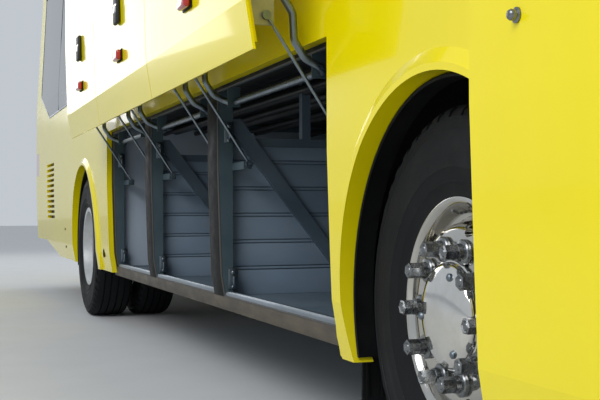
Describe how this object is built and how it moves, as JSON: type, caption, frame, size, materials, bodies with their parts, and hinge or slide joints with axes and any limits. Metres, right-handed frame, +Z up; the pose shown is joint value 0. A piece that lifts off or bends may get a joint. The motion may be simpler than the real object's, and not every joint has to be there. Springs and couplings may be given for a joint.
{
  "type": "sleeper coach bus",
  "caption": "High-deck sleeper coach bus with steering front wheels, twin rear wheels, a swing entry door and parallel-lift luggage flaps over through bays.",
  "frame": {"origin": "on the ground under the middle of the coach's length and width", "axes": "+X forward, +Y to the coach's left, +Z up"},
  "size_m": [12, 3.14, 3.5998],
  "materials": {
    "body_paint": "gloss",
    "window_glass": "gloss",
    "bay_paint": "satin",
    "chassis_paint": "satin",
    "liner_plastic": "matte",
    "tyre_rubber": "matte",
    "polished_alloy": "mirror",
    "wheel_steel": "satin",
    "lamp_lens": "gloss",
    "upholstery": "satin",
    "bare_steel": "satin"
  },
  "bodies": {
    "coach": {"air_conditioner": "body_paint", "arch_liners": "liner_plastic", "bay_frame_left": "bay_paint", "bay_frame_right": "bay_paint", "bay_walls": "bay_paint", "berths": "upholstery", "cabin_floor": "bay_paint", "dashboard": "liner_plastic", "driver_seat": "upholstery", "engine": "chassis_paint", "front_axle": "chassis_paint", "front_panel": "body_paint", "headlamps": "lamp_lens", "mirrors": "liner_plastic", "rear_axle": "chassis_paint", "rear_glass": "window_glass", "rear_panel": "body_paint", "roof": "body_paint", "side_glass": "window_glass", "side_panels_left": "body_paint", "side_panels_right": "body_paint", "tail_lamps": "lamp_lens", "underframe": "chassis_paint", "upper_side_left": "body_paint", "upper_side_right": "body_paint", "windscreen": "window_glass"},
    "steered_left": {"knuckle_left": "chassis_paint"},
    "steered_right": {"knuckle_right": "chassis_paint"},
    "wheel_front_left": {"front_tyre_left": "tyre_rubber", "front_rim_left": "polished_alloy"},
    "wheel_front_right": {"front_tyre_right": "tyre_rubber", "front_rim_right": "polished_alloy"},
    "wheels_rear_left": {"rear_tyres_left": "tyre_rubber", "rear_rims_left": "wheel_steel"},
    "wheels_rear_right": {"rear_tyres_right": "tyre_rubber", "rear_rims_right": "wheel_steel"},
    "entry_door_swing_arm": {"door_arm": "bare_steel"},
    "entry_door_leaf": {"entry_door": "body_paint", "entry_door_glass": "window_glass"},
    "hand_wheel": {"steering_wheel": "liner_plastic"},
    "lift_arm_right_rear": {"flap_arm_right_rear": "bare_steel"},
    "luggage_flap_right_rear": {"flap_right_rear": "body_paint"},
    "stay_links_right_rear": {"flap_links_right_rear": "bare_steel"},
    "lift_arm_right_middle": {"flap_arm_right_middle": "bare_steel"},
    "luggage_flap_right_middle": {"flap_right_middle": "body_paint"},
    "stay_links_right_middle": {"flap_links_right_middle": "bare_steel"},
    "lift_arm_right_front": {"flap_arm_right_front": "bare_steel"},
    "luggage_flap_right_front": {"flap_right_front": "body_paint"},
    "stay_links_right_front": {"flap_links_right_front": "bare_steel"},
    "lift_arm_left_rear": {"flap_arm_left_rear": "bare_steel"},
    "luggage_flap_left_rear": {"flap_left_rear": "body_paint"},
    "lift_arm_left_middle": {"flap_arm_left_middle": "bare_steel"},
    "luggage_flap_left_middle": {"flap_left_middle": "body_paint"},
    "lift_arm_left_front": {"flap_arm_left_front": "bare_steel"},
    "luggage_flap_left_front": {"flap_left_front": "body_paint"}
  },
  "joints": [
    {"name": "steer_left", "type": "hinge", "parent": "coach", "child": "steered_left", "pos_m": [3.4, 0.88, 0.537], "axis": [0, 0, 1], "range_deg": [-42, 42]},
    {"name": "steer_right", "type": "hinge", "parent": "coach", "child": "steered_right", "pos_m": [3.4, -0.88, 0.537], "axis": [0, 0, 1], "range_deg": [-42, 42]},
    {"name": "spin_front_left", "type": "hinge", "parent": "steered_left", "child": "wheel_front_left", "pos_m": [3.4, 1.04, 0.532], "axis": [0, 1, 0], "continuous": true},
    {"name": "spin_front_right", "type": "hinge", "parent": "steered_right", "child": "wheel_front_right", "pos_m": [3.4, -1.04, 0.532], "axis": [0, 1, 0], "continuous": true},
    {"name": "spin_rear_left", "type": "hinge", "parent": "coach", "child": "wheels_rear_left", "pos_m": [-2.47, 0.922, 0.532], "axis": [0, 1, 0], "continuous": true},
    {"name": "spin_rear_right", "type": "hinge", "parent": "coach", "child": "wheels_rear_right", "pos_m": [-2.47, -0.922, 0.532], "axis": [0, 1, 0], "continuous": true},
    {"name": "hand_wheel_turn", "type": "hinge", "parent": "coach", "child": "hand_wheel", "pos_m": [5.27, 0.64, 1.64], "axis": [-0.5472, 0, 0.837], "range_deg": [-756, 756]},
    {"name": "entry_door_swing", "type": "hinge", "parent": "coach", "child": "entry_door_swing_arm", "pos_m": [4.905, -1.145, 0.9], "axis": [0, 0, 1], "range_deg": [0, 136.2]},
    {"name": "entry_door_stay_parallel", "type": "hinge", "parent": "entry_door_swing_arm", "child": "entry_door_leaf", "pos_m": [4.60237, -1.43522, 0.9], "axis": [0, 0, 1], "range_deg": [-136.2, 0]},
    {"name": "lift_right_rear", "type": "hinge", "parent": "coach", "child": "lift_arm_right_rear", "pos_m": [-0.7825, -1.18, 1.255], "axis": [1, 0, 0], "range_deg": [0, 146.4]},
    {"name": "stay_upright_right_rear", "type": "hinge", "parent": "lift_arm_right_rear", "child": "luggage_flap_right_rear", "pos_m": [-0.7825, -1.4567, 1.67146], "axis": [1, 0, 0], "range_deg": [-146.4, 0]},
    {"name": "link_right_rear", "type": "hinge", "parent": "coach", "child": "stay_links_right_rear", "pos_m": [-0.7825, -1.13, 0.995], "axis": [1, 0, 0], "range_deg": [0, 146.4]},
    {"name": "lift_right_middle", "type": "hinge", "parent": "coach", "child": "lift_arm_right_middle", "pos_m": [0.527, -1.18, 1.255], "axis": [1, 0, 0], "range_deg": [0, 146.4]},
    {"name": "stay_upright_right_middle", "type": "hinge", "parent": "lift_arm_right_middle", "child": "luggage_flap_right_middle", "pos_m": [0.527, -1.4567, 1.67146], "axis": [1, 0, 0], "range_deg": [-146.4, 0]},
    {"name": "link_right_middle", "type": "hinge", "parent": "coach", "child": "stay_links_right_middle", "pos_m": [0.527, -1.13, 0.995], "axis": [1, 0, 0], "range_deg": [0, 146.4]},
    {"name": "lift_right_front", "type": "hinge", "parent": "coach", "child": "lift_arm_right_front", "pos_m": [1.9735, -1.18, 1.255], "axis": [1, 0, 0], "range_deg": [0, 146.4]},
    {"name": "stay_upright_right_front", "type": "hinge", "parent": "lift_arm_right_front", "child": "luggage_flap_right_front", "pos_m": [1.9735, -1.4567, 1.67146], "axis": [1, 0, 0], "range_deg": [-146.4, 0]},
    {"name": "link_right_front", "type": "hinge", "parent": "coach", "child": "stay_links_right_front", "pos_m": [1.9735, -1.13, 0.995], "axis": [1, 0, 0], "range_deg": [0, 146.4]},
    {"name": "lift_left_rear", "type": "hinge", "parent": "coach", "child": "lift_arm_left_rear", "pos_m": [-0.7825, 1.18, 1.255], "axis": [1, 0, 0], "range_deg": [0, 146.4]},
    {"name": "stay_upright_left_rear", "type": "hinge", "parent": "lift_arm_left_rear", "child": "luggage_flap_left_rear", "pos_m": [-0.7825, 1.18, 0.755], "axis": [1, 0, 0], "range_deg": [-146.4, 0]},
    {"name": "lift_left_middle", "type": "hinge", "parent": "coach", "child": "lift_arm_left_middle", "pos_m": [0.527, 1.18, 1.255], "axis": [1, 0, 0], "range_deg": [0, 146.4]},
    {"name": "stay_upright_left_middle", "type": "hinge", "parent": "lift_arm_left_middle", "child": "luggage_flap_left_middle", "pos_m": [0.527, 1.18, 0.755], "axis": [1, 0, 0], "range_deg": [-146.4, 0]},
    {"name": "lift_left_front", "type": "hinge", "parent": "coach", "child": "lift_arm_left_front", "pos_m": [1.9735, 1.18, 1.255], "axis": [1, 0, 0], "range_deg": [0, 146.4]},
    {"name": "stay_upright_left_front", "type": "hinge", "parent": "lift_arm_left_front", "child": "luggage_flap_left_front", "pos_m": [1.9735, 1.18, 0.755], "axis": [1, 0, 0], "range_deg": [-146.4, 0]}
  ],
  "couplings": [
    {"joint": "steer_right", "follows": "steer_left", "ratio": 1},
    {"joint": "hand_wheel_turn", "follows": "steer_left", "ratio": 18},
    {"joint": "entry_door_stay_parallel", "follows": "entry_door_swing", "ratio": -1},
    {"joint": "stay_upright_right_rear", "follows": "lift_right_rear", "ratio": -1},
    {"joint": "link_right_rear", "follows": "lift_right_rear", "ratio": 1},
    {"joint": "stay_upright_right_middle", "follows": "lift_right_middle", "ratio": -1},
    {"joint": "link_right_middle", "follows": "lift_right_middle", "ratio": 1},
    {"joint": "stay_upright_right_front", "follows": "lift_right_front", "ratio": -1},
    {"joint": "link_right_front", "follows": "lift_right_front", "ratio": 1},
    {"joint": "stay_upright_left_rear", "follows": "lift_left_rear", "ratio": -1},
    {"joint": "stay_upright_left_middle", "follows": "lift_left_middle", "ratio": -1},
    {"joint": "stay_upright_left_front", "follows": "lift_left_front", "ratio": -1}
  ]
}
